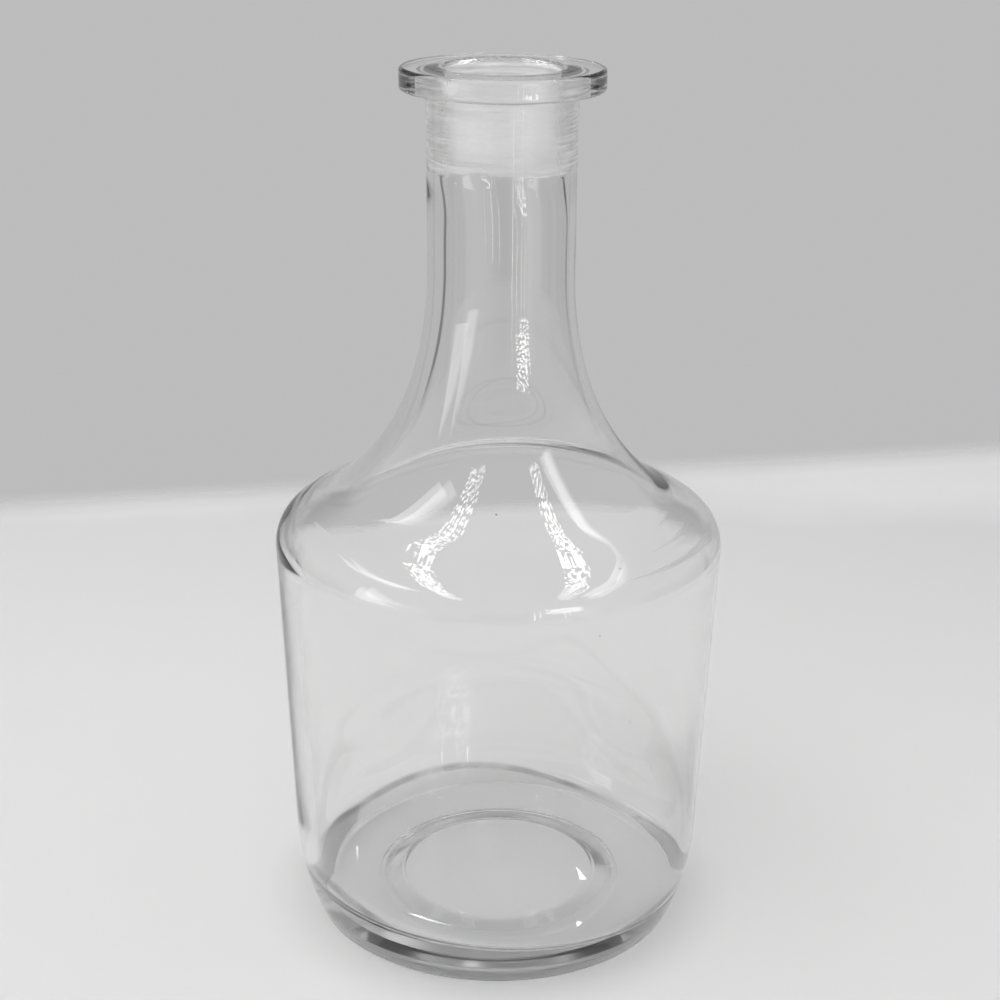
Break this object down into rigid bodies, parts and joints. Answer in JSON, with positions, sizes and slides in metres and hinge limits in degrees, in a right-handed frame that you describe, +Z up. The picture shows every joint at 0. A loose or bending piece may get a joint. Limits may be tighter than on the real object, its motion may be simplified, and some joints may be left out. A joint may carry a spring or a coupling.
{
  "type": "bottle vase",
  "caption": "Clear glass bottle used as a vase, with a flat disc lip, a ground socket in a straight neck, a long flare onto a domed shoulder, a slightly tapering body and a pushed-up foot.",
  "frame": {"origin": "centre of the foot, on the table", "axes": "+Z up along the bottle's own axis, out of the mouth; X and Y are any two level directions, because the bottle is round"},
  "size_m": [0.1338, 0.1338, 0.26],
  "materials": {
    "clear_glass": "clear and polished, frosted only in the ground socket"
  },
  "bodies": {
    "root": {"glass_bottle": "clear_glass"}
  },
  "joints": []
}
